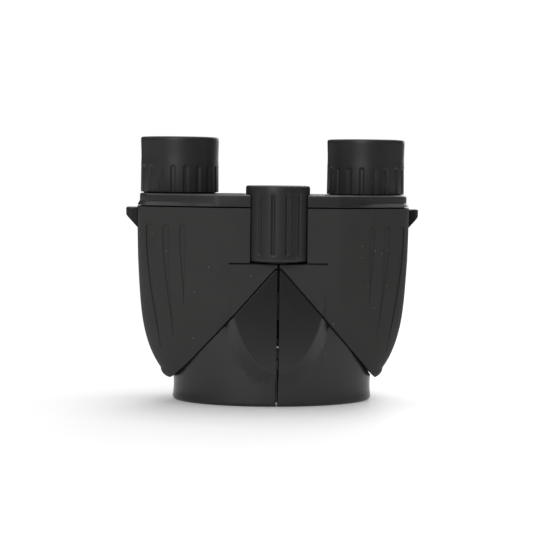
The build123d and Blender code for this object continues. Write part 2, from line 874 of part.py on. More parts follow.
# ================================================================ hinge and focus knob
def hinge_axle():
    """Hollow axle through the upper knuckles and the floor of the knob slot."""
    top = knob_bottom_z + knob_floor + clip_thickness + axle_end
    return ring(axle_bore_radius, axle_radius, upper_hinge_z, top)


def hinge_pin():
    """Solid pin through the lower knuckles."""
    return rod(axle_radius, lower_hinge_z, lower_hinge_top_z)


def thrust_washer():
    """Washer that the knob turns on."""
    return ring(axle_radius, knob_hub_radius, pocket_floor_z, knob_bottom_z)


def axle_clip():
    """Clip on the axle that keeps the knob down."""
    low = knob_bottom_z + knob_floor + running_gap
    return ring(axle_radius, axle_radius + 1.3, low, low + clip_thickness)


def focus_knob():
    """The fluted drum of the focus wheel, with a hub for its nut."""
    inner = knob_radius - knob_wall
    floor_top = knob_bottom_z + knob_floor
    cap_z = knob_top_z - cap_thickness - 0.3
    nut_top = nut_bottom_z + nut_height
    with BuildPart() as knob:
        profile = [
            (axle_radius + running_gap, knob_bottom_z),
            (knob_radius, knob_bottom_z),
            (knob_radius, knob_top_z),
            (inner, knob_top_z),
            (inner, cap_z),
            (inner - 0.6, cap_z),
            (inner - 0.6, floor_top),
            (knob_hub_radius, floor_top),
            (knob_hub_radius, nut_top),
            (nut_radius, nut_top),
            (nut_radius, floor_top),
            (axle_radius + running_gap, floor_top),
        ]
        add(revolved(profile, 0, 0))
        rims = knob.edges().filter_by(GeomType.CIRCLE)
        rims = rims.filter_by(lambda edge: abs(edge.radius - knob_radius) < 0.01)
        fillet(rims, knob_round)
        centre = knob_radius + knob_flute_radius - knob_flute_depth
        with PolarLocations(centre, knob_flutes, start_angle=-90 + 180 / knob_flutes):
            with Locations((0, 0, (knob_flute_bottom_z + knob_flute_top_z) / 2)):
                height = knob_flute_top_z - knob_flute_bottom_z
                Cylinder(knob_flute_radius, height, mode=Mode.SUBTRACT)
        low_ends = [(centre, knob_flute_bottom_z), (centre, knob_flute_top_z)]
        for run, z in low_ends:
            with PolarLocations(run, knob_flutes, start_angle=-90 + 180 / knob_flutes):
                with Locations((0, 0, z)):
                    Sphere(knob_flute_radius, mode=Mode.SUBTRACT)
    return knob.part.moved(Location((0, hinge_y, 0)))


def knob_cap():
    """Cap pressed into the top of the knob."""
    top = knob_top_z - 0.3
    outer = knob_radius - knob_wall
    profile = [(0, top - 1.2), (6.0, top - 1.2), (6.0, top - cap_thickness)]
    profile += [(outer, top - cap_thickness), (outer, top), (0, top)]
    return revolved(profile)


def focus_nut():
    """Brass nut pressed into the knob's hub."""
    low, top = nut_bottom_z, nut_bottom_z + nut_height
    return ring(spindle_radius + spindle_gap, nut_radius, low, top)


# ================================================================ eyepieces
def eye_ring(points, lift=0.0):
    """A profile turned about the right-hand eyepiece axis."""
    return revolved([(r, z + lift) for r, z in points], eye_half_spacing, eye_axis_y)


def eyepiece_turret():
    """Fixed tube in the top cover that carries the eyepiece."""
    return eye_ring([
        (turret_bore, turret_bottom_z),
        (turret_radius, turret_bottom_z),
        (turret_radius, cover_top_z),
        (turret_flange_radius, cover_top_z),
        (turret_flange_radius, cover_top_z + turret_flange),
        (turret_radius, cover_top_z + turret_flange),
        (turret_radius, turret_top_z),
        (turret_bore, turret_top_z),
    ])


field_lens_z = barrel_bottom_z + 2.2
eye_lens_z = cup_web_z - 5.6


def eyepiece_barrel(lift):
    """Sliding barrel that holds the two eyepiece lenses."""
    rim = barrel_bore - 0.6
    return eye_ring([
        (barrel_bore - 1.2, barrel_bottom_z),
        (barrel_radius, barrel_bottom_z),
        (barrel_radius, cup_web_z),
        (barrel_bore, cup_web_z),
        (barrel_bore, eye_lens_z),
        (rim, eye_lens_z),
        (rim, field_lens_z + 4.0),
        (barrel_bore - 1.2, field_lens_z + 4.0),
        (barrel_bore - 1.2, field_lens_z + 3.0),
        (barrel_bore, field_lens_z + 3.0),
        (barrel_bore, field_lens_z),
        (barrel_bore - 1.2, field_lens_z),
    ], lift)


def field_lens(lift):
    """Lower eyepiece lens."""
    z = field_lens_z + lift
    return lens(barrel_bore, lens_seat, z - 0.6, z, z + 3.6, z + 3.0, eye_half_spacing, eye_axis_y)


def eye_lens(lift):
    """Upper eyepiece lens, seen down the eyecup."""
    z = eye_lens_z + lift
    return lens(barrel_bore, lens_seat, z - 0.9, z, z + 4.6, z + 3.8, eye_half_spacing, eye_axis_y)


def eyepiece_retainer(lift):
    """Ring that holds the eye lens in the barrel."""
    low, top = eye_lens_z + 3.8 + lift, cup_web_z - 0.2 + lift
    return ring(barrel_bore - 1.0, barrel_bore, low, top, eye_half_spacing, eye_axis_y)


def eyecup(lift):
    """Rubber eyecup: a ribbed grip below, a smooth waisted lip above, and a well for the eye."""
    bottom, top = eyecup_bottom_z + lift, eyecup_top_z + lift
    web = cup_web_z + running_gap + lift
    rib_top = cup_rib_top_z + lift
    skirt = turret_flange_radius + 0.15
    with BuildPart() as cup:
        with BuildSketch(Plane.XZ):
            with BuildLine():
                outer = eyecup_radius
                Polyline(
                    (turret_radius + cup_fit, eyecup_bottom_z + turret_flange + 0.4 + lift),
                    (skirt, eyecup_bottom_z + turret_flange + 0.4 + lift),
                    (skirt, bottom),
                    (outer, bottom),
                    (outer, rib_top + 0.3),
                    (outer - cup_waist, rib_top + 0.7),
                    (outer, top - 3.2),
                    (outer, top),
                    (cup_well_radius, top),
                    (cup_well_radius - 1.0, web + cup_web),
                    (cup_eye_hole_radius, web + cup_web),
                    (cup_eye_hole_radius, web),
                    (turret_radius + cup_fit, web),
                    (turret_radius + cup_fit, eyecup_bottom_z + turret_flange + 0.4 + lift),
                )
            make_face()
        revolve(axis=Axis.Z)
        rims = cup.edges().filter_by(GeomType.CIRCLE)
        rims = rims.filter_by(lambda edge: abs(edge.center().Z - top) < 0.01)
        fillet(rims, cup_lip_round)
        low = cup.edges().filter_by(GeomType.CIRCLE)
        low = low.filter_by(lambda edge: abs(edge.center().Z - bottom) < 0.01 and edge.radius > skirt + 0.1)
        fillet(low, 0.35)
        groove_top = rib_top - cup_groove_width / 2
        with PolarLocations(eyecup_radius, cup_grooves, start_angle=-90):
            with Locations((0, 0, (bottom - 1 + groove_top) / 2)):
                Box(2 * cup_groove_depth, cup_groove_width, groove_top - bottom + 1, mode=Mode.SUBTRACT)
            with Locations(Location((0, 0, groove_top), (0, 90, 0))):
                Cylinder(cup_groove_width / 2, 2 * cup_groove_depth, mode=Mode.SUBTRACT)
    return cup.part.moved(Location((eye_half_spacing, eye_axis_y, 0)))


# ================================================================ assembly
def both(name, right, left=None):
    """A right-hand piece and its mirror image, or the mirror image of the left-hand variant."""
    mirrored = mirror(left if left is not None else right, about=Plane.YZ, mode=Mode.PRIVATE)
    return {"right_" + name: right, "left_" + name: mirrored}


pieces = {}
blank = housing_blank()
pieces.update(both("prism_housing", prism_housing(1, blank), prism_housing(-1, blank)))
blank = casing_blank()
pieces.update(both("objective_casing", objective_casing(1, blank), objective_casing(-1, blank)))
pieces.update(both("top_cover", top_cover()))
pieces.update(both("cover_screws", cover_screws()))
pieces.update(both("objective_bezel", objective_bezel()))
pieces.update(both("strap_lug", strap_lug()))
pieces.update(both("prism_shelf", prism_shelf()))
pieces.update(both("upper_prism", prism(False)))
pieces.update(both("lower_prism", prism(True)))
pieces.update(both("prism_clips", prism_clips()))
pieces.update(both("objective_cell", objective_cell()))
pieces.update(both("objective_crown", objective_crown()))
pieces.update(both("objective_flint", objective_flint()))
pieces.update(both("objective_retainer", objective_retainer()))
pieces.update(both("focus_arm", focus_arm(1), focus_arm(-1)))
pieces.update(both("eyepiece_turret", eyepiece_turret()))
pieces.update(both("eyepiece_barrel", eyepiece_barrel(0), eyepiece_barrel(dioptre_lift)))
pieces.update(both("field_lens", field_lens(0), field_lens(dioptre_lift)))
pieces.update(both("eye_lens", eye_lens(0), eye_lens(dioptre_lift)))
pieces.update(both("eyepiece_retainer", eyepiece_retainer(0), eyepiece_retainer(dioptre_lift)))
pieces.update(both("eyecup", eyecup(0), eyecup(dioptre_lift)))
pieces["focus_spindle"] = focus_spindle()
pieces["spindle_clip"] = spindle_clip()
pieces["hinge_axle"] = hinge_axle()
pieces["hinge_pin"] = hinge_pin()
pieces["thrust_washer"] = thrust_washer()
pieces["axle_clip"] = axle_clip()
pieces["focus_knob"] = focus_knob()
pieces["knob_cap"] = knob_cap()
pieces["focus_nut"] = focus_nut()

os.makedirs("parts", exist_ok=True)
for name, piece in pieces.items():
    piece.label = name
    export_step(piece, os.path.join("parts", name + ".step"))
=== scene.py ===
# %% [markdown]
# # Compact reverse-porro binoculars
#
# The pair stands on its objective rims, black on a pale table. The solids come from the packed
# model and stay where they are. This script gives them their finishes, remakes the turned and
# ribbed rubber parts with soft edges, softens the edges of the moulded casings, and lights them.

# %% Load the frame
import math

import bmesh
import bpy
from mathutils import Matrix, Vector


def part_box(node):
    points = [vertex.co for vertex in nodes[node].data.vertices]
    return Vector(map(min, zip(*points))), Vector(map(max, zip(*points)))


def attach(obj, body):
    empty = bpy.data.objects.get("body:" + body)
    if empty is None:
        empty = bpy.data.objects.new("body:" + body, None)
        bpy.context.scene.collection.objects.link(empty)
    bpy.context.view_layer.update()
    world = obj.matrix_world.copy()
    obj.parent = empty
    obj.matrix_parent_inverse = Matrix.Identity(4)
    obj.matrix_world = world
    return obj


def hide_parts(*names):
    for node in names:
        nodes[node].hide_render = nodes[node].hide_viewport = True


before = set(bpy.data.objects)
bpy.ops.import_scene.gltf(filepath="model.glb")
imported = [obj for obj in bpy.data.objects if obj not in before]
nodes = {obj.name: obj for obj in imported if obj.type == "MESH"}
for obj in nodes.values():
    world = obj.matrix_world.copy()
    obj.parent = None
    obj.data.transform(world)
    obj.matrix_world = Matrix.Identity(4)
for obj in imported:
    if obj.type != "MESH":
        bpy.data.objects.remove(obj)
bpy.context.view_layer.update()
MM = 0.001
SIDES = ("right", "left")

# %% [markdown]
# ## Shared surface effects
#
# Almost every part is black, so the finishes differ in grain, sheen and dust, not in colour. The
# grain and the dust are used by several materials, so each is one shader node group with named
# inputs. Grain could be modelled, but it is a few hundredths of a millimetre high, so a bump is
# enough. The three helpers below keep the node trees short to read.


# %% Helpers for nodes
def set_inputs(node, values):
    """Give some of a node's inputs their values by name."""
    for label, value in values.items():
        node.inputs[label].default_value = value


def add_node(tree, kind, inputs=None, **settings):
    """A new node with its settings, and with some of its inputs given by name."""
    node = tree.nodes.new(kind)
    for label, value in settings.items():
        setattr(node, label, value)
    set_inputs(node, inputs or {})
    return node


def new_group(name, inputs, outputs):
    """An empty shader node group with float, colour or vector sockets."""
    group = bpy.data.node_groups.new(name, "ShaderNodeTree")
    for label, kind, value in inputs:
        socket = group.interface.new_socket(name=label, in_out="INPUT", socket_type=kind)
        if value is not None:
            socket.default_value = value
    for label, kind in outputs:
        group.interface.new_socket(name=label, in_out="OUTPUT", socket_type=kind)
    start = group.nodes.new("NodeGroupInput")
    end = group.nodes.new("NodeGroupOutput")
    return group, start, end


# %% Moulded grain
def make_grain_group():
    """Fine pebbled grain of a moulded or rubber-coated surface, as a height."""
    sockets = [("Position", "NodeSocketVector", None), ("Grains per mm", "NodeSocketFloat", 2.5)]
    group, start, end = new_group("moulded_grain", sockets, [("Height", "NodeSocketFloat")])
    per_metre = add_node(group, "ShaderNodeMath", operation="MULTIPLY")
    per_metre.inputs[1].default_value = 1 / MM
    noise = add_node(group, "ShaderNodeTexNoise", {"Detail": 2.0, "Roughness": 0.6})
    link = group.links.new
    link(start.outputs["Grains per mm"], per_metre.inputs[0])
    link(start.outputs["Position"], noise.inputs["Vector"])
    link(per_metre.outputs[0], noise.inputs["Scale"])
    link(noise.outputs["Fac"], end.inputs["Height"])
    return group


grain_group = make_grain_group()
print("grain group:", len(grain_group.nodes), "nodes")


# %% Dust
def make_dust_group():
    """Sparse pale specks of dust, as a mask from 0 to 1."""
    sockets = [
        ("Position", "NodeSocketVector", None),
        ("Cell mm", "NodeSocketFloat", 2.6),
        ("Speck size", "NodeSocketFloat", 0.07),
        ("Share", "NodeSocketFloat", 0.3),
    ]
    group, start, end = new_group("dust_specks", sockets, [("Mask", "NodeSocketFloat")])
    link = group.links.new
    scale = add_node(group, "ShaderNodeMath", operation="DIVIDE")
    scale.inputs[0].default_value = 1 / MM
    cells = add_node(group, "ShaderNodeTexVoronoi")
    small = add_node(group, "ShaderNodeMath", operation="LESS_THAN")
    pick = add_node(group, "ShaderNodeSeparateColor")
    chosen = add_node(group, "ShaderNodeMath", operation="LESS_THAN")
    both = add_node(group, "ShaderNodeMath", operation="MULTIPLY")
    link(start.outputs["Cell mm"], scale.inputs[1])
    link(start.outputs["Position"], cells.inputs["Vector"])
    link(scale.outputs[0], cells.inputs["Scale"])
    link(cells.outputs["Distance"], small.inputs[0])
    link(start.outputs["Speck size"], small.inputs[1])
    link(cells.outputs["Color"], pick.inputs[0])
    link(pick.outputs[0], chosen.inputs[0])
    link(start.outputs["Share"], chosen.inputs[1])
    link(small.outputs[0], both.inputs[0])
    link(chosen.outputs[0], both.inputs[1])
    link(both.outputs[0], end.inputs["Mask"])
    return group


dust_group = make_dust_group()
print("dust group:", len(dust_group.nodes), "nodes")

# %% [markdown]
# ## Black plastics and rubber
#
# The prism housings have a soft-touch coat with a fine grain and a few specks of dust. The
# objective casings are smoother and darker, and the top covers catch the light most. One function
# makes all the black finishes, from the grey of the base colour, the roughness, the strength of
# the reflection, the grain and the dust. Each base colour is mottled a little by a noise, so that
# no surface is flat.


# %% Start of a material
def new_material(name):
    """A new node material, with its tree and its main shader."""
    material = bpy.data.materials.new(name)
    material.use_nodes = True
    tree = material.node_tree
    return material, tree, tree.nodes["Principled BSDF"]


def grey(tone):
    """A neutral grey of this linear tone, from 0 for black to 1 for white."""
    return (tone, tone, tone, 1)


# %% Colour and grain of a black finish
DUST_COLOUR = (0.16, 0.155, 0.145, 1)


def add_dust(tree, place, colour, share):
    """Mix dust specks over a colour output and return the dusty colour."""
    specks = add_node(tree, "ShaderNodeGroup", node_tree=dust_group)
    set_inputs(specks, {"Share": share})
    dusty = add_node(tree, "ShaderNodeMix", {"B": DUST_COLOUR}, data_type="RGBA")
    tree.links.new(place.outputs["Object"], specks.inputs["Position"])
    tree.links.new(specks.outputs["Mask"], dusty.inputs["Factor"])
    tree.links.new(colour, dusty.inputs["A"])
    return dusty.outputs["Result"]


def add_grain(tree, place, shader, grains_per_mm, depth):
    """Bump the shader's normal with the moulded grain. Depth is in millimetres."""
    pebbles = add_node(tree, "ShaderNodeGroup", node_tree=grain_group)
    set_inputs(pebbles, {"Grains per mm": grains_per_mm})
    bump = add_node(tree, "ShaderNodeBump", {"Strength": 1.0, "Distance": depth * MM})
    tree.links.new(place.outputs["Object"], pebbles.inputs["Position"])
    tree.links.new(pebbles.outputs["Height"], bump.inputs["Height"])
    tree.links.new(bump.outputs["Normal"], shader.inputs["Normal"])


# %% Black moulded finishes
def black_finish(name, tone, roughness, specular, grains_per_mm=0.0, grain_depth=0.0, dust=0.0):
    """A black plastic or rubber. Dust is the share of the noise cells that hold a speck."""
    material, tree, shader = new_material(name)
    set_inputs(shader, {"Roughness": roughness, "Specular IOR Level": specular})
    place = add_node(tree, "ShaderNodeTexCoord")
    mottle = add_node(tree, "ShaderNodeTexNoise", {"Scale": 90.0, "Detail": 3.0})
    dark = (tone * 0.88, tone * 0.88, tone * 0.86, 1)
    light = (tone * 1.12, tone * 1.12, tone * 1.08, 1)
    tint = add_node(tree, "ShaderNodeMix", {"A": dark, "B": light}, data_type="RGBA")
    tree.links.new(place.outputs["Object"], mottle.inputs["Vector"])
    tree.links.new(mottle.outputs["Fac"], tint.inputs["Factor"])
    colour = tint.outputs["Result"]
    if dust > 0:
        colour = add_dust(tree, place, colour, dust)
    tree.links.new(colour, shader.inputs["Base Color"])
    if grains_per_mm > 0:
        add_grain(tree, place, shader, grains_per_mm, grain_depth)
    return material


housing_coat = black_finish("housing_soft_coat", 0.026, 0.72, 0.2, 2.2, 0.02, dust=0.12)
casing_satin = black_finish("casing_satin", 0.012, 0.28, 0.42, 3.0, 0.004, dust=0.04)
cover_satin = black_finish("cover_satin", 0.018, 0.36, 0.45, 3.0, 0.006)
grip_rubber = black_finish("grip_rubber", 0.02, 0.4, 0.3, 2.8, 0.008, dust=0.03)
cap_plastic = black_finish("knob_cap_satin", 0.014, 0.45, 0.35, 3.0, 0.005)
inner_plastic = black_finish("inner_plastic", 0.01, 0.7, 0.2)
washer_nylon = black_finish("washer_nylon", 0.008, 0.55, 0.2)
black_anodised = black_finish("black_anodised", 0.012, 0.38, 0.3, 4.0, 0.003)
print("black finishes made:", len(bpy.data.materials))

# %% [markdown]
# ## Metals
#
# The hinge pins, the spring clips and the focus nut are bare metal, mostly out of sight. A metal
# needs only its colour and a roughness. The roughness varies by a fine noise, as the marks of a
# lathe tool do. Drawn rings would need an axis for each part, and would be too fine to see.


# %% Turned metals
def turned_metal(name, colour, roughness, spread=0.06):
    """Bare metal whose roughness varies by spread to both sides."""
    material, tree, shader = new_material(name)
    set_inputs(shader, {"Base Color": (*colour, 1), "Metallic": 1.0})
    place = add_node(tree, "ShaderNodeTexCoord")
    marks = add_node(tree, "ShaderNodeTexNoise", {"Scale": 4000.0, "Detail": 1.0})
    limits = {"To Min": roughness - spread, "To Max": roughness + spread}
    vary = add_node(tree, "ShaderNodeMapRange", limits)
    tree.links.new(place.outputs["Object"], marks.inputs["Vector"])
    tree.links.new(marks.outputs["Fac"], vary.inputs["Value"])
    tree.links.new(vary.outputs["Result"], shader.inputs["Roughness"])
    return material


spring_steel = turned_metal("spring_steel", (0.6, 0.6, 0.62), 0.35)
blackened_steel = turned_metal("blackened_steel", (0.05, 0.05, 0.055), 0.4)
turned_brass = turned_metal("turned_brass", (0.72, 0.5, 0.22), 0.28)
print("metals:", spring_steel.name, blackened_steel.name, turned_brass.name)

# %% [markdown]
# ## Glass
#
# The lenses and prisms are clear glass. The outer lenses are coated against reflections, and what
# they still reflect is blue and violet. A second thin shell could stand for the coating, but a
# tint of the reflection on the glass itself gives the same look.


# %% Lens and prism glass
def lens_glass(name, tint, coat_tint=(1.0, 1.0, 1.0)):
    """Lens or prism glass; coated lenses reflect their coat's colour."""
    material, _, shader = new_material(name)
    set_inputs(shader, {"Base Color": (*tint, 1), "Specular Tint": (*coat_tint, 1)})
    set_inputs(shader, {"Roughness": 0.02, "IOR": 1.52, "Transmission Weight": 1.0})
    return material


coated_lens = lens_glass("coated_lens", (0.75, 0.82, 0.9), (0.45, 0.4, 1.0))
plain_lens = lens_glass("plain_lens", (0.93, 0.97, 0.96))
prism_glass = lens_glass("prism_glass", (0.9, 0.96, 0.94))
print("materials:", len(bpy.data.materials))

# %% [markdown]
# ## Finish of every solid
#
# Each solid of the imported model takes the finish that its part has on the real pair. The names
# of the two halves differ only in their first word, so one table serves both, and a second one
# names the parts in the centre.

# %% Tables of finishes
SIDE_FINISH = {
    "prism_housing": housing_coat,
    "objective_casing": casing_satin,
    "top_cover": cover_satin,
    "cover_screws": blackened_steel,
    "objective_bezel": black_anodised,
    "strap_lug": casing_satin,
    "prism_shelf": inner_plastic,
    "upper_prism": prism_glass,
    "lower_prism": prism_glass,
    "prism_clips": spring_steel,
    "eyepiece_turret": inner_plastic,
    "eyepiece_barrel": black_anodised,
    "field_lens": plain_lens,
    "eye_lens": coated_lens,
    "eyepiece_retainer": black_anodised,
    "eyecup": grip_rubber,
    "objective_cell": black_anodised,
    "objective_crown": coated_lens,
    "objective_flint": plain_lens,
    "objective_retainer": black_anodised,
    "focus_arm": black_anodised,
}
CENTRE_FINISH = {
    "hinge_axle": blackened_steel,
    "hinge_pin": blackened_steel,
    "thrust_washer": washer_nylon,
    "axle_clip": spring_steel,
    "focus_knob": grip_rubber,
    "knob_cap": cap_plastic,
    "focus_nut": turned_brass,
    "focus_spindle": blackened_steel,
    "spindle_clip": blackened_steel,
}
print("finishes listed:", len(SIDE_FINISH), "for each half,", len(CENTRE_FINISH), "in the centre")

# %% Give the solids their finishes
for name, node in nodes.items():
    side, _, part = name.partition("_")
    finish = SIDE_FINISH[part] if side in SIDES else CENTRE_FINISH[name]
    node.data.materials.clear()
    node.data.materials.append(finish)
print("solids finished:", len(nodes))

# %% [markdown]
# ## Turned blanks
#
# The focus wheel and the eyecups are round, so each starts as an outline that is turned about its
# axis, as on a lathe. A lathe leaves no perfectly sharp corner and neither does a rubber mould, so
# every corner of an outline is first rounded to its own radius. Only the rounded corners catch a
# line of light, which is what makes a black part readable. Blender's Spin and Screw tools turn an
# outline too, but a ring of points for each corner gives full control of where the points lie.


# %% Round the corners of an outline
def rounded(corners, steps=4):
    """Outline of (radius, height) points from (radius, height, rounding) corners, all in mm."""
    outline = []
    for i, (r, z, rounding) in enumerate(corners):
        here = Vector((r, z))
        if rounding == 0:
            outline.append(here)
            continue
        back = (Vector(corners[i - 1][:2]) - here).normalized()
        ahead = (Vector(corners[(i + 1) % len(corners)][:2]) - here).normalized()
        half = back.angle(ahead) / 2
        middle = here + (back + ahead).normalized() * (rounding / math.sin(half))
        first = here + back * (rounding / math.tan(half)) - middle
        last = here + ahead * (rounding / math.tan(half)) - middle
        for step in range(steps + 1):
            outline.append(middle + first.slerp(last, step / steps).normalized() * rounding)
    return outline


# %% Turn an outline into a mesh
def put(name, data):
    """A new object with this data, linked to the scene."""
    made = bpy.data.objects.new(name, data)
    bpy.context.scene.collection.objects.link(made)
    return made


def turned(name, outline, centre, segments):
    """A ring-shaped mesh: the closed outline, in mm, turned about an upright axis at centre."""
    build = bmesh.new()
    turns = [2 * math.pi * i / segments for i in range(segments)]
    rings = []
    for r, z in outline:
        spots = [(r * MM * math.cos(t), r * MM * math.sin(t)) for t in turns]
        rings.append([build.verts.new((centre[0] + x, centre[1] + y, z * MM)) for x, y in spots])
    for i, low in enumerate(rings):
        high = rings[(i + 1) % len(rings)]
        for j in range(segments):
            k = (j + 1) % segments
            build.faces.new((low[j], low[k], high[k], high[j]))
    bmesh.ops.recalc_face_normals(build, faces=build.faces)
    for face in build.faces:
        face.smooth = True
    mesh = bpy.data.meshes.new(name)
    build.to_mesh(mesh)
    build.free()
    return put(name, mesh)


# %% [markdown]
# ## Flutes as a rule
#
# The wheel and the cups have flutes at even steps round the axis, each with a round end. Cutting
# them with booleans would leave hard edges and ragged shading. Instead one Geometry Nodes tree
# pushes the wall in where a point lies inside a flute: it measures how far the point is from the
# flute's middle line, along the wall and beyond the flute's ends, and lets the depth rise softly
# over a narrow edge. Count, depth, width, ends and phase are inputs, so the wheel and the cups can
# share the tree.


# %% Inputs of the flute tree
def add_flute_sockets(tree):
    """The inputs and the output of the tree, with the lengths in metres and angles in radians."""
    socket = tree.interface.new_socket
    socket(name="Geometry", in_out="INPUT", socket_type="NodeSocketGeometry")
    socket(name="Count", in_out="INPUT", socket_type="NodeSocketInt")
    for label in ("Depth", "Width", "Edge", "Bottom", "Top", "Phase", "Wall from"):
        socket(name=label, in_out="INPUT", socket_type="NodeSocketFloat")
    socket(name="Centre", in_out="INPUT", socket_type="NodeSocketVector")
    socket(name="Material", in_out="INPUT", socket_type="NodeSocketMaterial")
    socket(name="Geometry", in_out="OUTPUT", socket_type="NodeSocketGeometry")


# %% Sums as nodes
def calculator(tree):
    """A function that adds one maths node for each sum and takes numbers or outputs."""

    def calc(operation, *values):
        node = add_node(tree, "ShaderNodeMath", operation=operation)
        for value, target in zip(values, node.inputs):
            if isinstance(value, (int, float)):
                target.default_value = value
            else:
                tree.links.new(value, target)
        return node.outputs[0]

    return calc


# %% How deep a point lies in a flute
def flute_depth(tree, calc, given, x, y, z, radius):
    """The depth of the flutes at a point, from its place beside the axis."""
    angle = calc("SUBTRACT", calc("ARCTAN2", y, x), given["Phase"])
    half_pitch = calc("DIVIDE", math.pi, given["Count"])
    inside_pitch = calc("WRAP", angle, half_pitch, calc("MULTIPLY", half_pitch, -1.0))
    across = calc("MULTIPLY", inside_pitch, radius)
    half_width = calc("MULTIPLY", given["Width"], 0.5)
    over_top = calc("ADD", calc("SUBTRACT", z, given["Top"]), half_width)
    under_bottom = calc("ADD", calc("SUBTRACT", given["Bottom"], z), half_width)
    beyond = calc("MAXIMUM", calc("MAXIMUM", over_top, under_bottom), 0.0)
    squares = calc("ADD", calc("MULTIPLY", across, across), calc("MULTIPLY", beyond, beyond))
    soft = add_node(tree, "ShaderNodeMapRange", interpolation_type="SMOOTHSTEP")
    tree.links.new(calc("SQRT", squares), soft.inputs["Value"])
    tree.links.new(half_width, soft.inputs["From Min"])
    tree.links.new(calc("SUBTRACT", half_width, given["Edge"]), soft.inputs["From Max"])
    on_wall = calc("GREATER_THAN", radius, given["Wall from"])
    return calc("MULTIPLY", calc("MULTIPLY", soft.outputs["Result"], on_wall), given["Depth"])


# %% The flute tree
def flute_tree():
    """Geometry Nodes tree that presses soft round-ended flutes into a turned wall."""
    tree = bpy.data.node_groups.new("soft_flutes", "GeometryNodeTree")
    add_flute_sockets(tree)
    calc = calculator(tree)
    link = tree.links.new
    given = add_node(tree, "NodeGroupInput").outputs
    end = add_node(tree, "NodeGroupOutput")
    position = add_node(tree, "GeometryNodeInputPosition")
    from_axis = add_node(tree, "ShaderNodeVectorMath", operation="SUBTRACT")
    link(position.outputs[0], from_axis.inputs[0])
    link(given["Centre"], from_axis.inputs[1])
    split = add_node(tree, "ShaderNodeSeparateXYZ")
    link(from_axis.outputs[0], split.inputs[0])
    x, y, z = split.outputs
    radius = calc("SQRT", calc("ADD", calc("MULTIPLY", x, x), calc("MULTIPLY", y, y)))
    depth = flute_depth(tree, calc, given, x, y, z, radius)
    least_radius = 0.1 * MM
    inward = calc("DIVIDE", calc("MULTIPLY", depth, -1.0), calc("MAXIMUM", radius, least_radius))
    push = add_node(tree, "ShaderNodeCombineXYZ")
    link(calc("MULTIPLY", x, inward), push.inputs[0])
    link(calc("MULTIPLY", y, inward), push.inputs[1])
    press = add_node(tree, "GeometryNodeSetPosition")
    link(given["Geometry"], press.inputs["Geometry"])
    link(push.outputs[0], press.inputs["Offset"])
    real = add_node(tree, "GeometryNodeRealizeInstances")
    paint = add_node(tree, "GeometryNodeSetMaterial")
    link(press.outputs[0], real.inputs[0])
    link(real.outputs[0], paint.inputs["Geometry"])
    link(given["Material"], paint.inputs["Material"])
    link(paint.outputs[0], end.inputs[0])
    return tree


soft_flutes = flute_tree()
print("flute tree:", len(soft_flutes.nodes), "nodes")


# %% Press the flutes into a blank
def fluted(blank, body, material, **values):
    """The blank with flutes, as one plain mesh that rides on a body."""
    modifier = blank.modifiers.new("flutes", "NODES")
    modifier.node_group = soft_flutes
    for item in soft_flutes.interface.items_tree:
        if item.in_out == "INPUT" and item.name in values:
            modifier[item.identifier] = values[item.name]
        if item.in_out == "INPUT" and item.name == "Material":
            modifier[item.identifier] = material
    seen = blank.evaluated_get(bpy.context.evaluated_depsgraph_get())
    mesh = bpy.data.meshes.new_from_object(seen)
    name = blank.name
    bpy.data.objects.remove(blank)
    piece = put(name, mesh)
    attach(piece, body)
    return piece


# %% [markdown]
# ## Focus wheel
#
# The wheel is a drum of hard rubber with narrow flutes that end short of its rounded rims, and a
# flat cap pressed into its top. The solid of the wheel has the same sizes; this mesh adds the
# soft edges of the flutes and the rounding of the rims. The wall gets rings of points only near
# the ends of the flutes, where their round ends need them.

# %% Sizes of the wheel
wheel_low, wheel_high = (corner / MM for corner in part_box("focus_knob"))
wheel_radius = (wheel_high.x - wheel_low.x) / 2
wheel_centre = ((wheel_low.x + wheel_high.x) / 2 * MM, (wheel_low.y + wheel_high.y) / 2 * MM)
wheel_flutes = 14
steps_per_flute = 24
RING_GAP = 0.2
FRONT_DEGREES = -90
print("wheel radius in mm:", round(wheel_radius, 2))


# %% Outline of the wheel
def wheel_outline(flute_low, flute_top):
    """Half of the wheel's section, from its low rim up, over the wall and down to the axle."""
    low, top = wheel_low.z, wheel_high.z
    low_rim, top_rim = 1.1, 0.8
    axle, nut, hub = 2.65, 4.5, 6.5
    floor, hub_top = low + 2.4, low + 13.8
    inside = wheel_radius - 1.9
    near_end = [RING_GAP * step for step in range(-1, 8)]
    corners = [(wheel_radius, low, low_rim)]
    corners += [(wheel_radius, flute_low + step, 0) for step in near_end]
    corners += [(wheel_radius, flute_top - step, 0) for step in reversed(near_end)]
    corners += [(wheel_radius, top, top_rim), (inside, top, 0.3), (inside, floor, 0.3)]
    corners += [(hub, floor, 0), (hub, hub_top, 0), (nut, hub_top, 0), (nut, floor, 0)]
    corners += [(axle, floor, 0), (axle, low, 0)]
    return rounded(corners)


# %% Wheel
def focus_wheel():
    """The fluted wheel with its hub."""
    flute_low, flute_top = wheel_low.z + 2.3, wheel_high.z - 2.8
    outline = wheel_outline(flute_low, flute_top)
    blank = turned("focus_wheel_drum", outline, wheel_centre, wheel_flutes * steps_per_flute)
    return fluted(
        blank,
        "focus_wheel",
        grip_rubber,
        Count=wheel_flutes,
        Depth=0.7 * MM,
        Width=1.9 * MM,
        Edge=0.75 * MM,
        Bottom=flute_low * MM,
        Top=flute_top * MM,
        Phase=math.radians(FRONT_DEGREES) + math.pi / wheel_flutes,
        **{"Wall from": (wheel_radius - 0.5) * MM},
        Centre=(*wheel_centre, 0.0),
    )


wheel = focus_wheel()
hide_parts("focus_knob")
print("wheel faces:", len(wheel.data.polygons))

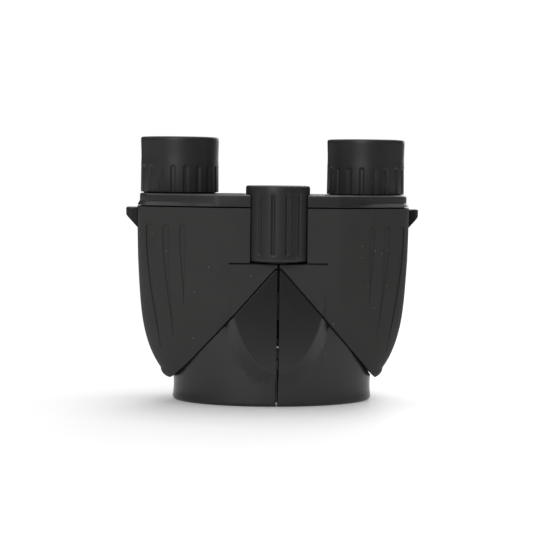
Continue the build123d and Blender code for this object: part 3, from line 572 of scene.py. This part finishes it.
# %% [markdown]
# ## Eyecups
#
# Each eyecup is moulded rubber: a ribbed grip at the bottom, a smooth lip that draws in a little
# above it, and a rounded rim. The ribs are what is left between grooves from the flute tree, which
# run out at the foot. The right cup is fixed and the left one turns with the dioptre adjustment,
# so they ride on different bodies and their ribs stand at different angles.


# %% Outline of an eyecup
def cup_outline(outer, bottom, top, grip_top):
    """Half of the cup's section, from the step over the barrel round to the web inside."""
    grip, waist, skirt = outer - 0.08, outer - 0.16, outer - 1.0
    tube, well, eye_hole = 12.9, 12.4, 9.2
    step_top, web_low, web_top = bottom + 1.8, bottom + 13.05, bottom + 14.25
    first_ring = grip_top - 1.9
    corners = [(tube, step_top, 0), (skirt, step_top, 0), (skirt, bottom, 0.2)]
    corners += [(outer, bottom, 0.35)]
    corners += [(grip, first_ring + RING_GAP * step, 0) for step in range(12)]
    corners += [(waist, grip_top + 2.6, 0), (waist, grip_top + 4.0, 0), (grip, top - 4.0, 0)]
    corners += [(outer, top - 1.6, 0.8), (outer, top, 0.7), (well, top, 0.6)]
    corners += [(well - 1.0, web_top, 0.4), (eye_hole, web_top, 0.2), (eye_hole, web_low, 0)]
    corners += [(tube, web_low, 0)]
    return rounded(corners)


# %% One eyecup
def eyecup(side, body, turn_degrees):
    """A ribbed rubber cup in place of the solid one on that side."""
    low, high = (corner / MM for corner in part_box(side + "_eyecup"))
    centre = ((low.x + high.x) / 2 * MM, (low.y + high.y) / 2 * MM)
    outer, bottom, top = (high.x - low.x) / 2, low.z, high.z
    grip_top = bottom + 10.3
    grooves, steps_per_groove = 19, 20
    outline = cup_outline(outer, bottom, top, grip_top)
    blank = turned(side + "_eyecup_rubber", outline, centre, grooves * steps_per_groove)
    cup = fluted(
        blank,
        body,
        grip_rubber,
        Count=grooves,
        Depth=0.5 * MM,
        Width=2.1 * MM,
        Edge=0.5 * MM,
        Bottom=(bottom - 2.0) * MM,
        Top=grip_top * MM,
        Phase=math.radians(FRONT_DEGREES - turn_degrees),
        **{"Wall from": (outer - 0.6) * MM},
        Centre=(*centre, 0.0),
    )
    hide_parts(side + "_eyecup")
    return cup


right_cup = eyecup("right", "right_half", 13.5)
left_cup = eyecup("left", "left_dioptre_cup", 11.0)
print("eyecup faces:", len(right_cup.data.polygons), len(left_cup.data.polygons))

# %% [markdown]
# ## Soft edges on the moulded shells
#
# Moulded housings have edges rounded by a few tenths of a millimetre. On the solids the edges of
# the cuts are sharp, so a copy of each shell is welded, its flat faces are joined, and a narrow
# bevel is put along every edge that turns by more than a set angle. Weighted normals then keep the
# flat faces evenly shaded right up to the bevels. The foot of each top cover is raised a little,
# which leaves the fine dark seam that is seen round it. Apart from that seam the copy stands
# where the solid is, and it replaces it.


# %% Weld a copy of a solid
def welded(name, seam):
    """A mesh of the solid's form, with its loose triangles joined and its foot raised by seam."""
    build = bmesh.new()
    build.from_mesh(nodes[name].data)
    bmesh.ops.remove_doubles(build, verts=build.verts, dist=0.002 * MM)
    flat = math.radians(0.6)
    bmesh.ops.dissolve_limit(build, angle_limit=flat, verts=build.verts, edges=build.edges)
    foot = min(vert.co.z for vert in build.verts) + 0.02 * MM
    for vert in build.verts:
        if vert.co.z < foot:
            vert.co.z += seam * MM
    for face in build.faces:
        face.smooth = True
    mesh = bpy.data.meshes.new(name + "_shell")
    build.to_mesh(mesh)
    build.free()
    mesh.materials.append(nodes[name].data.materials[0])
    return mesh


# %% A softened copy of a solid
def softened(name, body, width, seam):
    """A welded copy of a solid with its sharp edges bevelled. Width and seam are in mm."""
    shell = put(name + "_shell", welded(name, seam))
    bevel = shell.modifiers.new("soft_edges", "BEVEL")
    bevel.width = width * MM
    bevel.segments = 3
    bevel.limit_method = "ANGLE"
    bevel.angle_limit = math.radians(28.0)
    bevel.use_clamp_overlap = False
    even = shell.modifiers.new("even_shading", "WEIGHTED_NORMAL")
    even.mode = "FACE_AREA"
    even.weight = 60
    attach(shell, body)
    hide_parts(name)
    return shell


# %% Soften the shells of both halves
SHELLS = [
    ("prism_housing", 0.25, 0.0, "housing_rubber_coat"),
    ("objective_casing", 0.25, 0.0, "casing_satin"),
    ("top_cover", 0.25, 0.45, "cover_satin"),
    ("strap_lug", 0.3, 0.0, "casing_satin"),
]
for side, body in (("right", "right_half"), ("left", "left_half")):
    for part, width, seam, slot in SHELLS:
        shell = softened(side + "_" + part, body, width, seam)
        print(shell.name, "has", len(shell.data.polygons), "faces before its bevel")

# %% [markdown]
# ## Table
#
# The pair stands on white paper that runs on into a white background. A pale floor alone would
# end in a visible grey horizon. So the paper keeps its own colour near the pair, where it takes
# the soft shadow, and turns into plain white a hand's width away by its emission.

# %% Table top
table_half = 3.0
table_corners = [(-table_half, -table_half, 0), (table_half, -table_half, 0)]
table_corners += [(table_half, table_half, 0), (-table_half, table_half, 0)]
table_mesh = bpy.data.meshes.new("table_top")
table_mesh.from_pydata(table_corners, [], [(0, 1, 2, 3)])
table = put("table_top", table_mesh)
print("table width in m:", 2 * table_half)


# %% Table material
def table_paper():
    """White paper that keeps the shadow near the pair and is plain white further out."""
    material, tree, shader = new_material("table_paper")
    set_inputs(shader, {"Roughness": 0.6, "Specular IOR Level": 0.2, "Emission Strength": 1.0})
    place = add_node(tree, "ShaderNodeTexCoord")
    oval = {"Location": (0.012, 0.03, 0.0), "Scale": (0.72, 1.0, 1.0)}
    squeeze = add_node(tree, "ShaderNodeMapping", oval)
    distance = add_node(tree, "ShaderNodeVectorMath", operation="LENGTH")
    reach = {"From Min": 0.01, "From Max": 0.125}
    fade = add_node(tree, "ShaderNodeMapRange", reach, interpolation_type="SMOOTHERSTEP")
    glow = add_node(tree, "ShaderNodeMix", {"A": grey(0.0), "B": grey(1.0)}, data_type="RGBA")
    paper = add_node(tree, "ShaderNodeMix", {"A": grey(0.96), "B": grey(0.0)}, data_type="RGBA")
    tree.links.new(place.outputs["Object"], squeeze.inputs["Vector"])
    tree.links.new(squeeze.outputs["Vector"], distance.inputs[0])
    tree.links.new(distance.outputs["Value"], fade.inputs["Value"])
    for mix, target in ((glow, "Emission Color"), (paper, "Base Color")):
        tree.links.new(fade.outputs["Result"], mix.inputs["Factor"])
        tree.links.new(mix.outputs["Result"], shader.inputs[target])
    return material


table_mesh.materials.append(table_paper())
print("table material:", table_mesh.materials[0].name)

# %% [markdown]
# ## White surroundings
#
# The world behind the table is plain white to the camera, in reflections and through glass. As a
# light it is much weaker, so that the lamps still give the black parts their form. Light Path
# tells the world which kind of ray has reached it.

# %% World
sky_light, sky_seen = 0.35, 1.0
world = bpy.data.worlds.new("white_studio")
bpy.context.scene.world = world
world.use_nodes = True
sky = world.node_tree
background = sky.nodes["Background"]
set_inputs(background, {"Color": grey(1.0)})
path = add_node(sky, "ShaderNodeLightPath").outputs
either = calculator(sky)
seen = either("MAXIMUM", path["Is Camera Ray"], path["Is Glossy Ray"])
seen = either("MAXIMUM", seen, path["Is Transmission Ray"])
strength = add_node(sky, "ShaderNodeMapRange", {"To Min": sky_light, "To Max": sky_seen})
sky.links.new(seen, strength.inputs["Value"])
sky.links.new(strength.outputs["Result"], background.inputs["Strength"])
print("world light:", sky_light, "of what is seen")

# %% [markdown]
# ## Dark cards
#
# In an all-white room, black satin turns pale grey. A studio stands black card round the set for
# this, and so does this scene: one card all round, far off, and a lower one close in front. They
# show only in reflections, so the camera sees past them and they cast no shadow.

# %% Black card
black_card, _, card_shader = new_material("black_card")
set_inputs(card_shader, {"Base Color": grey(0.01), "Specular IOR Level": 0.0})
card_steps = 64


def dark_flag(name, radius, high, half_arc):
    """Black card bent round the front of the set, in metres and degrees."""
    build = bmesh.new()
    shares = [2 * step / card_steps - 1 for step in range(card_steps + 1)]
    turns = [math.radians(FRONT_DEGREES + half_arc * share) for share in shares]
    rims = [[(radius * math.cos(t), radius * math.sin(t), z) for t in turns] for z in (0, high)]
    low, top = ([build.verts.new(spot) for spot in rim] for rim in rims)
    for i in range(card_steps):
        build.faces.new((low[i], low[i + 1], top[i + 1], top[i]))
    mesh = bpy.data.meshes.new(name)
    build.to_mesh(mesh)
    build.free()
    mesh.materials.append(black_card)
    card = put(name, mesh)
    card.visible_camera = False
    card.visible_diffuse = False
    card.visible_transmission = False
    card.visible_shadow = False


FLAGS = [("far_flag", 1.1, 0.65, 180), ("near_flag", 0.2, 0.3, 60)]
for flag in FLAGS:
    dark_flag(*flag)
print("dark cards:", [name for name, *_ in FLAGS])

# %% [markdown]
# ## Lamps
#
# A broad soft lamp stands in front on the left, one as strong hangs above, and a weaker one stands
# behind for the views from there. The lamps are large, because black satin shows a small lamp as
# a hard spot.


# %% Soft lamps
PAIR_MIDDLE = Vector((0, 0, 0.05))


def soft_light(name, position, size, power):
    """A square area lamp that faces the middle of the pair. Sizes and places are in metres."""
    lamp = bpy.data.lights.new(name, "AREA")
    lamp.size = size
    lamp.energy = power
    holder = put(name, lamp)
    holder.location = position
    away = Vector(position) - PAIR_MIDDLE
    holder.rotation_euler = away.to_track_quat("Z", "Y").to_euler()


LAMPS = [
    ("front_key", (-0.3, -0.8, 0.4), 0.45, 4.4),
    ("top_fill", (0.05, 0.1, 0.9), 0.6, 4.4),
    ("back_fill", (0.35, 0.8, 0.35), 0.5, 2.5),
]
for lamp in LAMPS:
    soft_light(*lamp)
print("lamps:", len(LAMPS), "with", round(sum(power for *_, power in LAMPS), 1), "W in all")

# %% [markdown]
# ## Camera
#
# The pair is seen from straight in front, a little above its middle and a little to its left. The
# camera is placed by its distance, its turn round the pair and its height, and is then aimed by
# small angles. The view shift stays at zero, so that other views can reuse the camera.

# %% Camera
view_distance = 0.58
view_turn = math.radians(-4.5)
view_pan = math.radians(0.23)
view_pitch = math.radians(3.78)
view_roll = math.radians(0.6)
eye_height = 0.086
focus_depth = 0.00485
camera_data = bpy.data.cameras.new("camera")
camera_data.sensor_width = 36.0
camera_data.lens = 98.8
camera = put("camera", camera_data)
eye = Vector((math.sin(view_turn), -math.cos(view_turn), 0)) * view_distance
eye += Vector((0, focus_depth, eye_height))
facing = Matrix.Rotation(view_turn + view_pan, 4, "Z")
facing @= Matrix.Rotation(math.pi / 2 - view_pitch, 4, "X") @ Matrix.Rotation(view_roll, 4, "Z")
camera.matrix_world = Matrix.Translation(eye) @ facing
bpy.context.scene.camera = camera
bpy.context.scene.view_settings.view_transform = "Standard"
print("camera at:", [round(v, 3) for v in eye])
